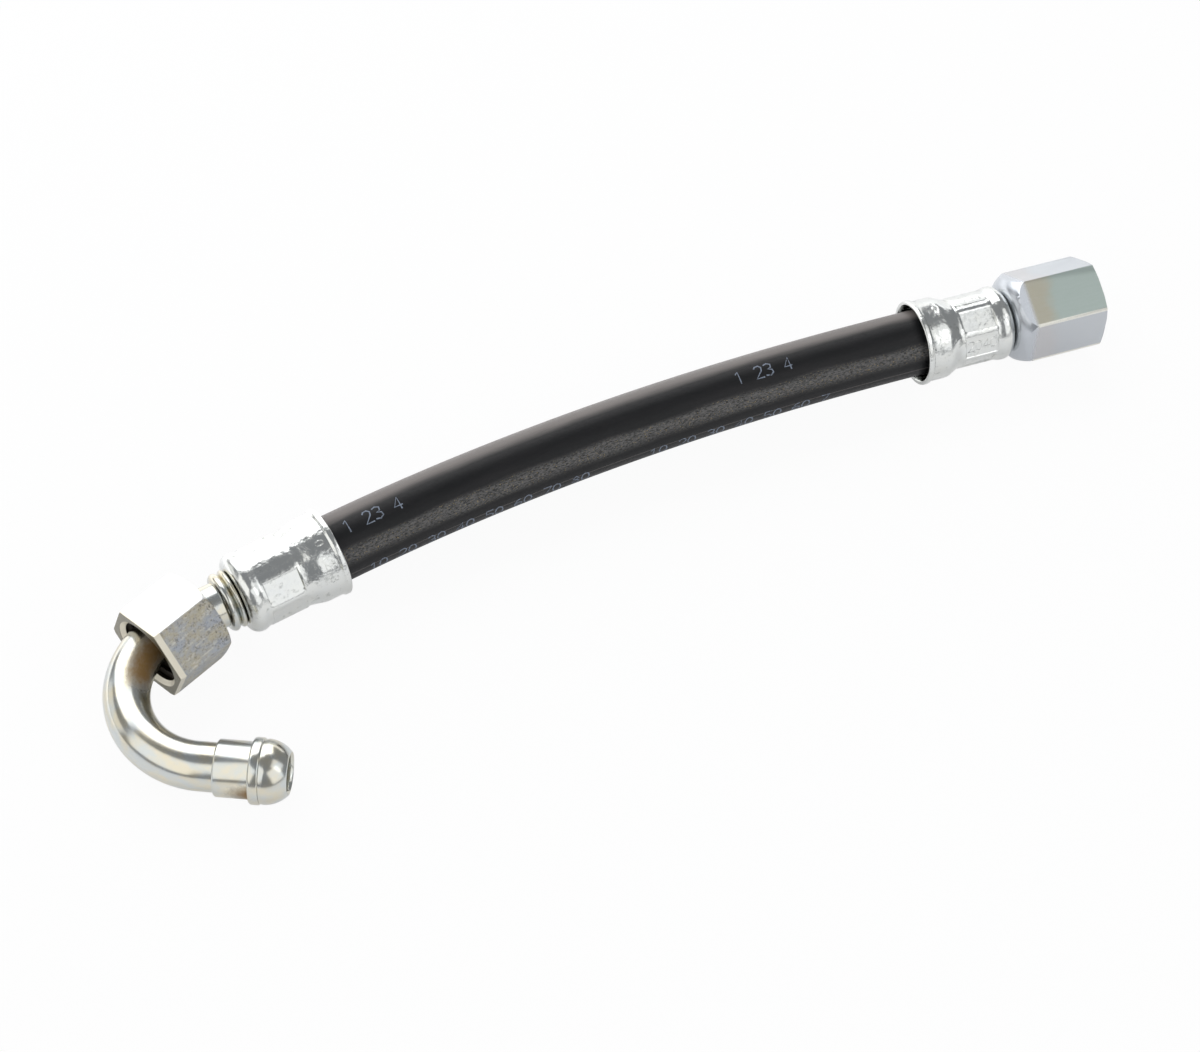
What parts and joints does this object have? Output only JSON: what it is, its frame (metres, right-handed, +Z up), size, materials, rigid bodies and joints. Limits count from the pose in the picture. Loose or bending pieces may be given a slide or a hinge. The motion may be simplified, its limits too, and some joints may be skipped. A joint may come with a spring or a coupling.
{
  "type": "fuel hose",
  "caption": "Short rubber fuel hose with crimped steel ferrules, a hooked tube end with ball nose and loose union nut, and a straight swivel nut end.",
  "frame": {"origin": "middle of the bounding box's base, on the surface that the hose lies on", "axes": "+X along the hose towards the straight end with the captive swivel nut, +Y away from the ball nose of the hook, +Z up"},
  "size_m": [0.2172, 0.143, 0.022],
  "materials": {
    "hose_rubber": "satin",
    "bright_zinc": "polished zinc plate",
    "warm_zinc": "warm zinc plate",
    "worn_steel": "worn mottled plate",
    "satin_zinc": "satin zinc plate"
  },
  "bodies": {
    "hose_body": {"hose": "hose_rubber", "left_ferrule": "bright_zinc", "right_ferrule": "bright_zinc", "bent_tube": "warm_zinc", "left_ball_nose": "warm_zinc", "right_tube": "warm_zinc", "right_ball_nose": "warm_zinc"},
    "left_nut": {"left_union_nut": "worn_steel"},
    "right_nut": {"right_union_nut": "satin_zinc"}
  },
  "joints": [
    {"name": "left_nut_spin", "type": "hinge", "parent": "hose_body", "child": "left_nut", "pos_m": [-0.10041, -0.03867, 0.01008], "axis": [-0.6665, -0.7455, 0], "continuous": true},
    {"name": "right_nut_spin", "type": "hinge", "parent": "hose_body", "child": "right_nut", "pos_m": [0.10554, 0.06234, 0.01097], "axis": [0.9475, 0.3198, -0.0018], "continuous": true}
  ]
}
